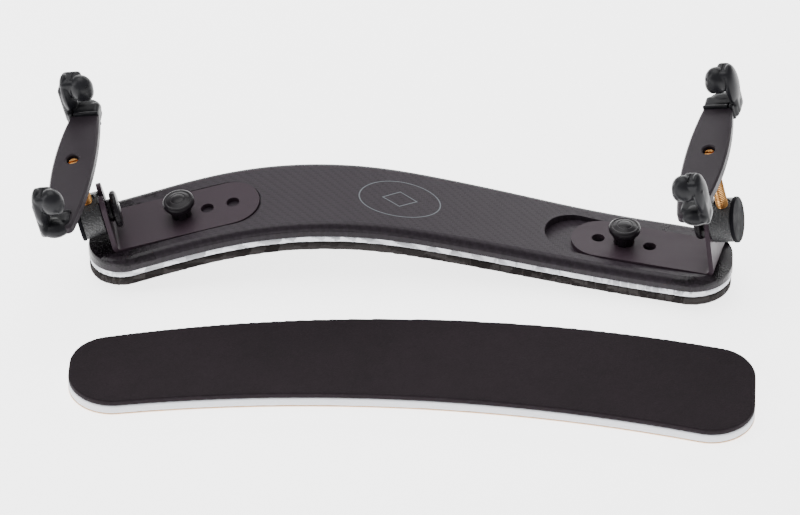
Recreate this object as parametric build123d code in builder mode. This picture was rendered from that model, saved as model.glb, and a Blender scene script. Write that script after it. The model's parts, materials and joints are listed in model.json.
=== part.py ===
from build123d import *
import math
import os

# Violin shoulder rest with a loose spare pad lying in front of it.
# X runs along the rest, the player's side is -Y, +Z is up, and the rest and the pad stand on z = 0.
# All sizes are in millimetres and degrees.

# ---- body: a thin carbon shell with two foam layers under it ----
body_length = 206.0
body_width = 32.0
plan_radius = 380.0          # the body curves towards the player at both ends
end_radius = 13.0            # rounded corners of the plan outline
shell_thickness = 4.4
grey_thickness = 2.3
black_thickness = 3.2
glue_line = 0.05             # between the shell and the foam layers
foam_inset = 0.3             # the foam is cut just inside the shell
rim_radius = 2.4             # rounded top rim of the shell

# side profile of the body, from the left end: a straight rise, a hump, a straight fall, a dip
rise_slope = 12.7
rise_length = 34.0
hump_radius = 170.0
fall_slope = 9.5
dip_radius = 270.0
left_roll = 4.0              # the left end leans towards the player
right_roll = -4.0            # and the right end leans away
roll_reach = 60.0            # the lean changes between x = -reach and x = +reach
layer_stations = 12          # cross sections each layer is lofted through
layer_overrun = 8.0          # the loft runs past the ends before it is cut to the outline

# ---- width brackets: a flat leg in a recess, and a slotted upright ----
plate_thickness = 1.5
bracket_length = 49.0
bracket_width = 19.5
hole_diameter = 4.2
hole_pitch = 8.4
hole_count = 3
through = 10.0               # depth of a cut that goes right through the shell
tip_to_hole = 8.6            # from the rounded tip to the first hole
upright_height = 18.8
upright_top_width = 12.0
upright_shoulder = 3.5       # height of the full-width foot of the upright
bend_radius = 1.2
recess_depth = 0.8           # least depth of the recess below the shell's top
recess_gap = 0.4             # clearance all round the bracket in the recess
slide_gap = 0.05             # between parts that slide on each other

# ---- thumb screw and the nut that slides under the bracket ----
stud_diameter = 4.0
stud_clearance = 0.2         # between the stud and the slot in the shell
thread_fit = 0.05            # radial running gap of every screwed or turning fit
ledge_thickness = 0.9        # shell left above the sliding nut
nut_length = 9.0
nut_width = 8.0
nut_thickness = 1.4
nut_gap = 0.25
nut_corner = 1.0
screw_chamfer = 0.3          # on both ends of every steel stud
knob_diameter = 10.2
knob_head = 3.0
knob_crown = 1.1
hub_diameter = 6.6
hub_height = 4.2             # underside of the knob's head above the bracket
collar_step = 1.5            # the hub is wider for this length under the head
hub_collar_diameter = 8.0
hub_notches = 6
hub_notch_radius = 0.5
knob_edge = 0.5              # rounding under and over the knob's rim
stud_in_knob = 3.6

# ---- clamp: barrel, stud, washer and nut on the upright ----
barrel_diameter = 14.2
barrel_length = 7.2
turning_gap = 0.1            # end gap between barrel, upright, washer and nut
cap_diameter = 14.8
cap_thickness = 1.1
cap_spigot_diameter = 6.0
cap_spigot_depth = 0.8
clamp_stud_diameter = 4.0
clamp_stud_grip = 1.2        # length held in the barrel
clamp_stud_end = 0.4         # length showing beyond the nut
washer_diameter = 7.4
washer_thickness = 1.4
clamp_nut_diameter = 12.0
clamp_nut_thickness = 2.2
clamp_nut_notches = 10
notch_radius = 0.7
barrel_edge = 0.5            # rounding of the barrel's ends
cap_edge = 0.45
washer_chamfer = 0.25

# ---- brass height post ----
post_diameter = 3.9
post_length = 28.0
post_tip_depth = 1.2         # top of the post below the fork's top face
post_slot_width = 0.8
post_slot_depth = 1.0
post_chamfer = 0.35
collar_diameter = 5.6        # counterbore round the post in the barrel
post_offset = 0.4            # the post stands a little outside the barrel's middle
collar_depth = 0.7
post_floor_gap = 0.5         # room under the post when it is fully in

# ---- fork and rubber feet ----
fork_thickness = 3.4
fork_inner_bulge = 7.4       # from the post to the fork's inner and outer edges
fork_outer_bulge = 6.3
fork_tip_inner = 4.4         # the same at both tips
fork_tip_outer = 2.4
fork_back_length = 26.5      # from the post to the fork's back and front tips
fork_front_length = 31.7
fork_chamfer = 0.6
fork_hole_chamfer = 0.4
fork_corner = 2.0
foot_back_y = 24.0           # middle of each rubber foot along the fork
foot_front_y = -29.2
foot_length = 9.0            # along the fork
foot_inner = 5.6             # reach of the foot to either side of the fork's middle
foot_outer = 6.4
foot_nose_inner = 4.3
foot_under = 1.2             # rubber under and over the fork's tip
foot_over = 1.2
throat = 5.8                 # opening for the edge of the violin
nose_height = 7.3
wall_thickness = 3.2
foot_rounding = 1.3
nose_rounding = 3.2
core_thickness = 1.6         # stiff finger inside the wall of each foot
core_width = 5.0
core_cover = 1.0             # rubber outside the finger

# ---- spare pad on the table ----
pad_length = 216.0
pad_left_width = 32.0
pad_middle_width = 38.0
pad_right_width = 42.0
pad_plan_radius = 430.0
pad_corner_radius = 14.0
pad_liner_thickness = 0.4
pad_grey_thickness = 3.0
pad_cover_thickness = 2.0
pad_distance = 60.0          # from the body's middle to the pad's middle
pad_shift = 3.0              # the pad lies a little to the right

# each side: where the bracket's bend stands, which of its holes is used, and how its clamp is set
sides = {
    "left": dict(way=-1, bend_x=-96.0, hole=2, lean=-2.0, lift=0.0, tilt=0.0, post=0.0, turn=-5.5),
    "right": dict(way=1, bend_x=99.4, hole=1, lean=12.5, lift=6.0, tilt=8.0, post=4.5, turn=-10.3),
}
clamp_base_height = 8.6      # clamp axis above the bracket's top face at the bottom of the slot
fork_base_height = 25.0      # top of the fork above the clamp axis with the post screwed in

body_half = body_length / 2
layers_thickness = shell_thickness + grey_thickness + black_thickness + 2 * glue_line
roll_drop = body_width / 2 * math.sin(math.radians(abs(left_roll)))


def rad(angle):
    return math.radians(angle)


def plan_y(x, radius=plan_radius):
    """Y of the body's centre line, zero at its middle."""
    return math.sqrt(radius ** 2 - x ** 2) - radius


# break points of the side profile
rise_start_z = layers_thickness / math.cos(rad(rise_slope)) + roll_drop
hump_start_x = -body_half + rise_length
hump_start_z = rise_start_z + rise_length * math.tan(rad(rise_slope))
hump_center_x = hump_start_x + hump_radius * math.sin(rad(rise_slope))
hump_center_z = hump_start_z - hump_radius * math.cos(rad(rise_slope))
fall_start_x = hump_center_x + hump_radius * math.sin(rad(fall_slope))
fall_start_z = hump_center_z + hump_radius * math.cos(rad(fall_slope))
dip_floor_z = layers_thickness + roll_drop
dip_start_z = dip_floor_z + dip_radius * (1 - math.cos(rad(fall_slope)))
dip_start_x = fall_start_x + (fall_start_z - dip_start_z) / math.tan(rad(fall_slope))
dip_center_x = dip_start_x + dip_radius * math.sin(rad(fall_slope))


def top_z(x):
    """Height of the shell's top along its centre line."""
    if x < hump_start_x:
        return hump_start_z + (x - hump_start_x) * math.tan(rad(rise_slope))
    if x < fall_start_x:
        return hump_center_z + math.sqrt(hump_radius ** 2 - (x - hump_center_x) ** 2)
    if x < dip_start_x:
        return fall_start_z - (x - fall_start_x) * math.tan(rad(fall_slope))
    return dip_floor_z + dip_radius - math.sqrt(dip_radius ** 2 - (x - dip_center_x) ** 2)


def roll_at(x):
    """Lean of the body about X: constant at both ends and even in between."""
    share = min(1, max(0, (x + roll_reach) / (2 * roll_reach)))
    return left_roll + share * (right_roll - left_roll)


def banana(length, left_width, middle_width, right_width, radius, corner):
    """Plan outline: two long arcs, straight ends and rounded corners."""
    half = length / 2
    end_y = plan_y(half, radius)
    far_left, near_left = (-half, end_y + left_width / 2), (-half, end_y - left_width / 2)
    far_right, near_right = (half, end_y + right_width / 2), (half, end_y - right_width / 2)
    with BuildSketch() as outline:
        with BuildLine():
            ThreePointArc(far_left, (0, middle_width / 2), far_right)
            Line(far_right, near_right)
            ThreePointArc(near_right, (0, -middle_width / 2), near_left)
            Line(near_left, far_left)
        make_face()
        fillet(outline.vertices(), corner)
    return outline.sketch


def layer(depth, thickness, inset):
    """One layer of the body between two depths under the shell's top."""
    reach = body_half + layer_overrun
    width = body_width - 2 * inset
    outline = banana(body_length - 2 * inset, width, width, width, plan_radius, end_radius - inset)
    with BuildPart() as band:
        for i in range(layer_stations):
            x = -reach + 2 * reach * i / (layer_stations - 1)
            slope = math.atan((top_z(x + 1) - top_z(x - 1)) / 2)
            stretch = 1 / math.cos(slope)
            side = Vector(body_width, body_width * math.tan(rad(roll_at(x))))
            top = Vector(0, -depth * stretch)
            bottom = Vector(0, -(depth + thickness) * stretch)
            with BuildSketch(Plane((x, plan_y(x), top_z(x)), x_dir=(0, 1, 0), z_dir=(1, 0, 0))):
                Polygon(top - side, top + side, bottom + side, bottom - side, align=None)
        loft()
        with BuildSketch(Plane.XY.offset(-body_width)):
            add(outline)
        extrude(amount=4 * body_width, mode=Mode.INTERSECT)
    return band.part


def circles(piece, radius):
    """Round edges of one radius."""
    round_edges = piece.edges().filter_by(GeomType.CIRCLE)
    return round_edges.filter_by(lambda edge: abs(edge.radius - radius) < 1e-3)


pieces = {}


def keep(piece, name):
    """Label a finished piece and keep it for export."""
    piece.part.label = name
    pieces[name] = piece.part


def inner(frame, at, x_dir, z_dir):
    """A plane given in the coordinates of another one."""
    origin = frame.from_local_coords(Vector(*at))
    return Plane(
        origin,
        x_dir=frame.from_local_coords(Vector(*x_dir)) - frame.origin,
        z_dir=frame.from_local_coords(Vector(*z_dir)) - frame.origin,
    )


def bracket_frame(side):
    """Recess floor: origin under the bend, +x outwards along the bracket, +z away from the shell."""
    way = side["way"]
    bend = side["bend_x"]
    tip = bend - way * bracket_length * math.cos(rad(rise_slope))
    middle = (bend + tip) / 2
    along = Vector(bend - tip, plan_y(bend) - plan_y(tip), top_z(bend) - top_z(tip)).normalized()
    sag = top_z(middle) - (top_z(bend) + top_z(tip)) / 2
    across = Vector(0, math.cos(rad(roll_at(middle))), math.sin(rad(roll_at(middle))))
    up = along.cross(across) * way
    depth = recess_depth + max(0, -sag)
    origin = Vector(bend, plan_y(bend), top_z(bend)) - up.normalized() * depth
    return Plane(origin, x_dir=along, z_dir=up)


def slide_frame(side):
    """Underside of the bracket, just clear of the recess floor."""
    return bracket_frame(side).offset(slide_gap)


def upright_frame(side):
    """Outer face of the upright: +z up along it, +x outwards, at the bend of the bracket."""
    lean = rad(side["lean"])
    out = (math.cos(lean), 0, math.sin(lean))
    up = (-math.sin(lean), 0, math.cos(lean))
    return inner(slide_frame(side), (0, 0, 0), out, up)


def clamp_frame(side):
    """Clamp axis is +x, through the slot of the upright; +z is the post, as the barrel is tilted."""
    tilt = rad(side["tilt"])
    height = plate_thickness + clamp_base_height + side["lift"]
    return inner(upright_frame(side), (0, 0, height), (1, 0, 0), (0, -math.sin(tilt), math.cos(tilt)))


def post_x():
    return turning_gap + barrel_length / 2 + post_offset


def fork_frame(side):
    """Middle of the fork's top face, +z along the post, +x away from the violin."""
    height = fork_base_height + side["post"]
    turn = rad(side["turn"])
    clamp = clamp_frame(side)
    # the fork's length runs along world Y turned by its swivel angle, in the plane across the post
    want = Vector(-math.sin(turn), math.cos(turn), 0)
    length_dir = (want - clamp.z_dir * want.dot(clamp.z_dir)).normalized()
    outward = length_dir.cross(clamp.z_dir)
    outward = outward if outward.X * side["way"] > 0 else outward * -1
    return Plane(clamp.from_local_coords(Vector(post_x(), 0, height)), x_dir=outward, z_dir=clamp.z_dir)


def slot_floor_height():
    """Lowest point of the open slot, on the upright's own height."""
    return plate_thickness + clamp_base_height - clamp_stud_diameter / 2 - stud_clearance


def hole_x(number):
    """Hole positions on the bracket, counted from its rounded tip."""
    return -bracket_length + tip_to_hole + number * hole_pitch


def build_shell():
    blank = layer(0, shell_thickness, 0)
    with BuildPart() as shell:
        add(blank)
        top = shell.faces().filter_by(lambda face: face.normal_at().Z > 0.7).sort_by(SortBy.AREA)[-1]
        fillet(top.edges(), rim_radius)
        for side in sides.values():
            frame = bracket_frame(side)
            travel = (hole_count - 1) * hole_pitch
            reach_in = travel - side["hole"] * hole_pitch
            recess = bracket_length + recess_gap + reach_in
            width = bracket_width + 2 * recess_gap
            with BuildSketch(frame):
                with Locations((-recess + width / 2, 0)):
                    Circle(width / 2)
                    Rectangle(recess, width, align=(Align.MIN, Align.CENTER))
            extrude(amount=through, mode=Mode.SUBTRACT)
            slot_x = hole_x(side["hole"]) - reach_in + travel / 2
            with BuildSketch(frame):
                with Locations((slot_x, 0)):
                    SlotCenterToCenter(travel, stud_diameter + 2 * stud_clearance)
            extrude(amount=-through, mode=Mode.SUBTRACT)
            with BuildSketch(frame.offset(-ledge_thickness)):
                with Locations((slot_x, 0)):
                    Rectangle(travel + nut_length + 2 * nut_gap, nut_width + 2 * nut_gap)
            extrude(amount=-through, mode=Mode.SUBTRACT)
    keep(shell, "shell")


def build_foam():
    grey = layer(shell_thickness + glue_line, grey_thickness, foam_inset)
    with BuildPart() as grey_foam:
        add(grey)
    keep(grey_foam, "grey_foam")
    black = layer(shell_thickness + grey_thickness + 2 * glue_line, black_thickness, foam_inset)
    with BuildPart() as black_foam:
        add(black)
    keep(black_foam, "black_foam")


def build_bracket(name, side):
    """Plate bent to an L, with holes in the flat leg and an open slot in the upright."""
    frame = slide_frame(side)
    upright = upright_frame(side)
    across = inner(upright, (0, 0, 0), (0, 1, 0), (1, 0, 0))
    profile = inner(frame, (0, 0, 0), (1, 0, 0), (0, -1, 0))
    lean = rad(side["lean"])
    top = Vector(-upright_height * math.sin(lean), upright_height * math.cos(lean))
    inward = Vector(-math.cos(lean), -math.sin(lean)) * plate_thickness
    inner_corner = Vector(-plate_thickness * (1 + math.sin(lean)) / math.cos(lean), plate_thickness)
    slot = clamp_stud_diameter + 2 * stud_clearance
    foot = bracket_width / 2
    head = upright_top_width / 2
    with BuildPart() as bracket:
        with BuildSketch(profile) as bent:
            with BuildLine():
                Polyline(
                    (-bracket_length, 0), (0, 0), top, top + inward,
                    inner_corner, (-bracket_length, plate_thickness), (-bracket_length, 0),
                )
            make_face()
            fillet(bent.vertices().sort_by_distance(inner_corner)[0], bend_radius)
            fillet(bent.vertices().sort_by_distance((0, 0))[0], bend_radius + plate_thickness)
        extrude(amount=foot, both=True)
        tip = frame.from_local_coords(Vector(-bracket_length, 0, plate_thickness / 2))
        tip_edges = bracket.edges().filter_by(Axis((0, 0, 0), frame.z_dir)).sort_by_distance(tip)[:2]
        fillet(tip_edges, foot - 0.1)
        with BuildSketch(frame):
            with Locations(*[(hole_x(i), 0) for i in range(hole_count)]):
                Circle(hole_diameter / 2)
        extrude(amount=plate_thickness, mode=Mode.SUBTRACT)
        with BuildSketch(across):
            with Locations((0, upright_shoulder)):
                Rectangle(2 * bracket_width, 2 * upright_height, align=(Align.CENTER, Align.MIN))
            with BuildSketch(mode=Mode.PRIVATE) as head_outline:
                Polygon(
                    (-foot, upright_shoulder), (foot, upright_shoulder),
                    (head, upright_height), (-head, upright_height), align=None,
                )
                fillet(head_outline.vertices().group_by(Axis.Y)[-1], head - clamp_stud_diameter / 2)
            add(head_outline.sketch, mode=Mode.SUBTRACT)
            with Locations((0, slot_floor_height() + slot / 2)):
                Circle(slot / 2)
                Rectangle(slot, upright_height, align=(Align.CENTER, Align.MIN))
        extrude(amount=2 * plate_thickness, both=True, mode=Mode.SUBTRACT)
    keep(bracket, f"{name}_bracket")


def turned_profile(frame, at):
    """Plane for a profile that is turned about the frame's +z through a point of the frame."""
    return inner(frame, at, (1, 0, 0), (0, -1, 0))


def build_thumb_screw(name, side):
    """Captive nut, threaded stud and moulded knob of one bracket."""
    frame = slide_frame(side)
    x = hole_x(side["hole"])
    nut_top = -(2 * slide_gap + ledge_thickness)
    with BuildPart() as slide_nut:
        with BuildSketch(frame.offset(nut_top)):
            with Locations((x, 0)):
                RectangleRounded(nut_length, nut_width, nut_corner)
                Circle(stud_diameter / 2 + thread_fit, mode=Mode.SUBTRACT)
        extrude(amount=-nut_thickness)
    keep(slide_nut, f"{name}_slide_nut")

    hub_foot = plate_thickness + slide_gap
    stud_top = hub_foot + stud_in_knob
    with BuildPart() as stud:
        with BuildSketch(frame.offset(nut_top - nut_thickness)):
            with Locations((x, 0)):
                Circle(stud_diameter / 2)
        extrude(amount=stud_top - nut_top + nut_thickness)
        chamfer(stud.edges().filter_by(GeomType.CIRCLE), screw_chamfer)
    keep(stud, f"{name}_thumb_stud")

    head_foot = plate_thickness + hub_height
    crown = head_foot + knob_head
    profile = turned_profile(frame, (x, 0, 0))
    with BuildPart() as knob:
        with BuildSketch(profile):
            with BuildLine():
                Line((0, hub_foot), (hub_diameter / 2, hub_foot))
                Polyline(
                    (hub_diameter / 2, hub_foot),
                    (hub_diameter / 2, head_foot - collar_step),
                    (hub_collar_diameter / 2, head_foot - collar_step),
                    (hub_collar_diameter / 2, head_foot),
                    (knob_diameter / 2, head_foot),
                    (knob_diameter / 2, crown - knob_crown),
                )
                ThreePointArc(
                    (knob_diameter / 2, crown - knob_crown),
                    (knob_diameter * 0.28, crown - knob_crown * 0.3),
                    (0, crown),
                )
                Line((0, crown), (0, hub_foot))
            make_face()
        revolve(axis=Axis(profile.origin, frame.z_dir))
        with BuildSketch(frame.offset(hub_foot)):
            with Locations((x, 0)):
                Circle(stud_diameter / 2 + thread_fit)
        extrude(amount=stud_in_knob + slide_gap, mode=Mode.SUBTRACT)
        with BuildSketch(frame.offset(hub_foot)):
            with Locations((x, 0)):
                with PolarLocations(hub_diameter / 2, hub_notches):
                    Circle(hub_notch_radius)
        extrude(amount=hub_height - collar_step - slide_gap, mode=Mode.SUBTRACT)
        fillet(circles(knob, knob_diameter / 2), knob_edge)
    keep(knob, f"{name}_thumb_knob")


def build_clamp(name, side):
    """Washer and notched nut inside the upright, barrel, end cap and stud outside it."""
    frame = clamp_frame(side)
    stud_radius = clamp_stud_diameter / 2
    end = inner(frame, (turning_gap, 0, 0), (0, 1, 0), (1, 0, 0))
    washer_face = -(plate_thickness + turning_gap)
    washer_plane = inner(frame, (washer_face, 0, 0), (0, 1, 0), (1, 0, 0))
    with BuildPart() as washer:
        with BuildSketch(washer_plane):
            Circle(washer_diameter / 2)
            Circle(stud_radius + thread_fit, mode=Mode.SUBTRACT)
        extrude(amount=-washer_thickness)
        chamfer(circles(washer, washer_diameter / 2), washer_chamfer)
    keep(washer, f"{name}_clamp_washer")

    nut_face = washer_face - washer_thickness - turning_gap
    with BuildPart() as nut:
        with BuildSketch(inner(frame, (nut_face, 0, 0), (0, 1, 0), (1, 0, 0))):
            Circle(clamp_nut_diameter / 2)
            with PolarLocations(clamp_nut_diameter / 2, clamp_nut_notches):
                Circle(notch_radius, mode=Mode.SUBTRACT)
            Circle(stud_radius + thread_fit, mode=Mode.SUBTRACT)
        extrude(amount=-clamp_nut_thickness)
    keep(nut, f"{name}_clamp_nut")

    stud_tip = nut_face - clamp_nut_thickness - clamp_stud_end
    with BuildPart() as stud:
        with BuildSketch(inner(frame, (turning_gap + clamp_stud_grip, 0, 0), (0, 1, 0), (1, 0, 0))):
            Circle(stud_radius)
        extrude(amount=stud_tip - turning_gap - clamp_stud_grip)
        tip = frame.from_local_coords(Vector(stud_tip, 0, 0))
        chamfer(stud.edges().filter_by(GeomType.CIRCLE).sort_by_distance(tip)[0], screw_chamfer)
    keep(stud, f"{name}_clamp_stud")

    post_floor = fork_base_height - post_tip_depth - post_length - post_floor_gap
    with BuildPart() as barrel:
        with BuildSketch(end):
            Circle(barrel_diameter / 2)
        extrude(amount=barrel_length)
        fillet(barrel.edges().filter_by(GeomType.CIRCLE), barrel_edge)
        with BuildSketch(end):
            Circle(stud_radius)
        extrude(amount=clamp_stud_grip, mode=Mode.SUBTRACT)
        with BuildSketch(end.offset(barrel_length)):
            Circle(cap_spigot_diameter / 2)
        extrude(amount=-cap_spigot_depth, mode=Mode.SUBTRACT)
        with BuildSketch(inner(frame, (post_x(), 0, post_floor), (1, 0, 0), (0, 0, 1))):
            Circle(post_diameter / 2 + thread_fit)
        extrude(amount=barrel_diameter, mode=Mode.SUBTRACT)
        flat = barrel_diameter / 2 - collar_depth
        with BuildSketch(inner(frame, (post_x(), 0, flat), (1, 0, 0), (0, 0, 1))):
            Circle(collar_diameter / 2)
        extrude(amount=barrel_diameter, mode=Mode.SUBTRACT)
    keep(barrel, f"{name}_barrel")

    with BuildPart() as cap:
        with BuildSketch(end.offset(barrel_length)):
            Circle(cap_diameter / 2)
        extrude(amount=cap_thickness)
        outer = frame.from_local_coords(Vector(turning_gap + barrel_length + cap_thickness, 0, 0))
        fillet(cap.edges().filter_by(GeomType.CIRCLE).sort_by_distance(outer)[0], cap_edge)
        with BuildSketch(end.offset(barrel_length)):
            Circle(cap_spigot_diameter / 2)
        extrude(amount=-cap_spigot_depth)
    keep(cap, f"{name}_barrel_cap")


def build_post(name, side):
    """Brass post with a driver slot in its top."""
    top = inner(fork_frame(side), (0, 0, -post_tip_depth), (1, 0, 0), (0, 0, 1))
    with BuildPart() as post:
        with BuildSketch(top):
            Circle(post_diameter / 2)
        extrude(amount=-post_length)
        chamfer(post.edges().filter_by(GeomType.CIRCLE), post_chamfer)
        with BuildSketch(top):
            Rectangle(post_diameter, post_slot_width)
        extrude(amount=-post_slot_depth, mode=Mode.SUBTRACT)
    keep(post, f"{name}_height_post")


def fork_tip(frame, y):
    """Stiff finger at one tip of the fork, which the rubber foot is moulded over."""
    outer = foot_outer - core_cover
    top = foot_over + throat + nose_height / 2
    with BuildPart() as finger:
        with BuildSketch(inner(frame, (0, y, 0), (1, 0, 0), (0, -1, 0))):
            with BuildLine():
                Polyline(
                    (0, -fork_thickness), (outer, -fork_thickness), (outer, top),
                    (outer - core_thickness, top), (outer - core_thickness, 0), (0, 0),
                    (0, -fork_thickness),
                )
            make_face()
        extrude(amount=core_width / 2, both=True)
    return finger.part


def build_fork(name, side):
    """Leaf-shaped fork plate with a stiff finger at each tip, and its two rubber feet."""
    frame = fork_frame(side)
    # +y of the left fork's frame points to the player, and that of the right one points away
    back = side["way"]
    middle = back * (fork_back_length - fork_front_length) / 2
    back_tip = back * fork_back_length
    front_tip = -back * fork_front_length
    fingers = [fork_tip(frame, back * y) for y in (foot_back_y, foot_front_y)]
    with BuildPart() as fork:
        with BuildSketch(frame) as leaf:
            with BuildLine():
                inner_front, inner_back = (-fork_tip_inner, front_tip), (-fork_tip_inner, back_tip)
                outer_front, outer_back = (fork_tip_outer, front_tip), (fork_tip_outer, back_tip)
                ThreePointArc(inner_front, (-fork_inner_bulge, middle), inner_back)
                Line(inner_back, outer_back)
                ThreePointArc(outer_back, (fork_outer_bulge, middle), outer_front)
                Line(outer_front, inner_front)
            make_face()
            fillet(leaf.vertices(), fork_corner)
        extrude(amount=-fork_thickness)
        rims = fork.faces().filter_by(Axis((0, 0, 0), frame.z_dir)).edges()
        chamfer(rims, fork_chamfer)
        for finger in fingers:
            add(finger)
        with BuildSketch(frame):
            Circle(post_diameter / 2 + thread_fit)
        extrude(amount=-fork_thickness, mode=Mode.SUBTRACT)
        mouth = circles(fork, post_diameter / 2 + thread_fit)
        chamfer(mouth.sort_by_distance(frame.origin)[0], fork_hole_chamfer)
    keep(fork, f"{name}_fork")

    for end_name, y in (("back", back * foot_back_y), ("front", back * foot_front_y)):
        low = -fork_thickness - foot_under
        nose = foot_over + throat
        top = nose + nose_height
        with BuildPart() as foot:
            with BuildSketch(inner(frame, (0, y, 0), (1, 0, 0), (0, -1, 0))):
                with BuildLine():
                    Polyline(
                        (-foot_inner, low), (foot_outer, low), (foot_outer, top),
                        (-foot_nose_inner, top), (-foot_nose_inner, nose),
                        (foot_outer - wall_thickness, nose), (foot_outer - wall_thickness, foot_over),
                        (-foot_inner, foot_over), (-foot_inner, low),
                    )
                make_face()
            extrude(amount=foot_length / 2, both=True)
            along = foot.edges().filter_by(Axis((0, 0, 0), frame.y_dir))
            crest = frame.from_local_coords(Vector(-foot_nose_inner, y, (top + nose) / 2))
            fillet(along.sort_by_distance(crest)[:2], nose_rounding)
            outer_edges = foot.edges().filter_by(Axis((0, 0, 0), frame.y_dir))
            shoulder = frame.from_local_coords(Vector(foot_outer, y, top))
            fillet(outer_edges.sort_by_distance(shoulder)[0], nose_rounding)
            ends = foot.faces().filter_by(Axis((0, 0, 0), frame.y_dir))
            fillet(ends.edges(), foot_rounding)
            add(fork.part, mode=Mode.SUBTRACT)
        keep(foot, f"{name}_{end_name}_foot")


def build_spare_pad():
    """Loose pad lying flat: paper liner, grey foam and black cover, all cut to one outline."""
    widths = (pad_left_width, pad_middle_width, pad_right_width)
    outline = banana(pad_length, *widths, pad_plan_radius, pad_corner_radius)
    base = 0
    for name, thickness in (
        ("spare_pad_liner", pad_liner_thickness),
        ("spare_pad_foam", pad_grey_thickness),
        ("spare_pad_cover", pad_cover_thickness),
    ):
        with BuildPart() as pad_layer:
            with BuildSketch(Plane.XY.offset(base)):
                with Locations((pad_shift, -pad_distance)):
                    add(outline)
            extrude(amount=thickness)
        keep(pad_layer, name)
        base += thickness


def set_middle():
    """Point on the table under the middle of the whole set, which becomes the origin."""
    boxes = [piece.bounding_box() for piece in pieces.values()]
    x = (min(box.min.X for box in boxes) + max(box.max.X for box in boxes)) / 2
    y = (min(box.min.Y for box in boxes) + max(box.max.Y for box in boxes)) / 2
    return Vector(x, y, 0)


def build_all():
    build_shell()
    build_foam()
    for name, side in sides.items():
        build_bracket(name, side)
        build_thumb_screw(name, side)
        build_clamp(name, side)
        build_post(name, side)
        build_fork(name, side)
    build_spare_pad()


def main():
    os.makedirs("parts", exist_ok=True)
    build_all()
    middle = set_middle()
    for name, piece in pieces.items():
        placed = piece.moved(Location(middle * -1))
        placed.label = name
        export_step(placed, f"parts/{name}.step")


if __name__ == "__main__":
    main()
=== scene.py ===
"""Violin shoulder rest with a loose spare pad: visible pieces, finishes and studio.

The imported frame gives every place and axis.  Small pieces are modelled in millimetres at the
world's origin, and are then put in place and scaled to metres in one step.
"""
import json
import math

import bpy
from mathutils import Matrix, Vector


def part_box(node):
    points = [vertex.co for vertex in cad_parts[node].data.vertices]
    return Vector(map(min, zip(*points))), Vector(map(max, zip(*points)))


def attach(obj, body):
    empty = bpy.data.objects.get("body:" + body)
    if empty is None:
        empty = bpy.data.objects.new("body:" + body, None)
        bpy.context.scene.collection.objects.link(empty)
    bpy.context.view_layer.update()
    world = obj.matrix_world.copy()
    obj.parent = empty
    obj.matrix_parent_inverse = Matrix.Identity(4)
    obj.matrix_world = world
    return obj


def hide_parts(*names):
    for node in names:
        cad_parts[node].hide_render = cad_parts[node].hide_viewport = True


bl_info = {
    "name": "Violin Shoulder Rest",
    "version": (1, 0, 0),
    "blender": (4, 5, 0),
    "location": "View3D > Sidebar > Shoulder Rest",
    "description": "Builds the visible pieces of a violin shoulder rest round its frame",
    "category": "Object",
}

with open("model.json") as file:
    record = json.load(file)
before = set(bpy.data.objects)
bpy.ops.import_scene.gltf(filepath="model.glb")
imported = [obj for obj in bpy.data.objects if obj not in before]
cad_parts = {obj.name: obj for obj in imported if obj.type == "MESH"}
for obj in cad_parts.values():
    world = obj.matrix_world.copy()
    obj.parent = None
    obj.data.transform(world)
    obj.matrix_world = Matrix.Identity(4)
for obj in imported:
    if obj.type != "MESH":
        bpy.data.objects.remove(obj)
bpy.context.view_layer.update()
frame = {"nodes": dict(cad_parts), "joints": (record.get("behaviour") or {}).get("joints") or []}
nodes = frame["nodes"]
joints = {joint["name"]: joint for joint in frame["joints"]}

MM = 0.001
SIDES = ("left", "right")

# plan of the body, in metres: an arc with rounded corners
SHELL_RADIUS = 380.0 * MM
SHELL_HALF_WIDTH = 16.0 * MM
SHELL_CORNER = 13.0 * MM

# elevation, yaw and roll in degrees, and distance in metres
CAMERA_ANGLES = (39.1, 2.3, 0.46)
CAMERA_DISTANCE = 2.471

# screws and posts, in millimetres
THUMB_SCREW_REACH = 5
POST_DEPTH = 1.2
THREAD_CREST = 1.98
THREAD_ROOT = 1.68


# ---- where things are ----

def axis_of(joint):
    return Vector(joints[joint]["axis"]).normalized()


def middle_of(node):
    low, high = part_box(node)
    return (low + high) / 2


def placing(origin, x_axis, z_axis):
    """Matrix from millimetres in a local frame to metres in the row's frame."""
    x = x_axis.normalized()
    z = (z_axis - x * z_axis.dot(x)).normalized()
    y = z.cross(x)
    turn = Matrix((x, y, z)).transposed().to_4x4()
    return Matrix.Translation(origin) @ turn @ Matrix.Scale(MM, 4)


def knob_place(side):
    """Thumb screw axis is +z; z = 0 is the underside of the bracket."""
    screw = joints[f"{side}_thumb_turn"]
    up = axis_of(f"{side}_thumb_turn")
    origin = Vector(screw["pos_m"]) - up * THUMB_SCREW_REACH * MM
    return placing(origin, axis_of(f"{side}_width"), up)


def clamp_place(side):
    """Clamp axis is +z, outwards; the height post runs along +x."""
    out = axis_of(f"{side}_fork_tilt")
    origin = Vector(joints[f"{side}_fork_tilt"]["pos_m"])
    return placing(origin, axis_of(f"{side}_height"), out)


def post_place(side):
    """Post axis is +z, with z = 0 at its top, a little below the fork's face."""
    up = axis_of(f"{side}_height")
    top = Vector(joints[f"{side}_fork_turn"]["pos_m"]) - up * POST_DEPTH * MM
    return placing(top, axis_of(f"{side}_fork_tilt"), up)


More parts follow.
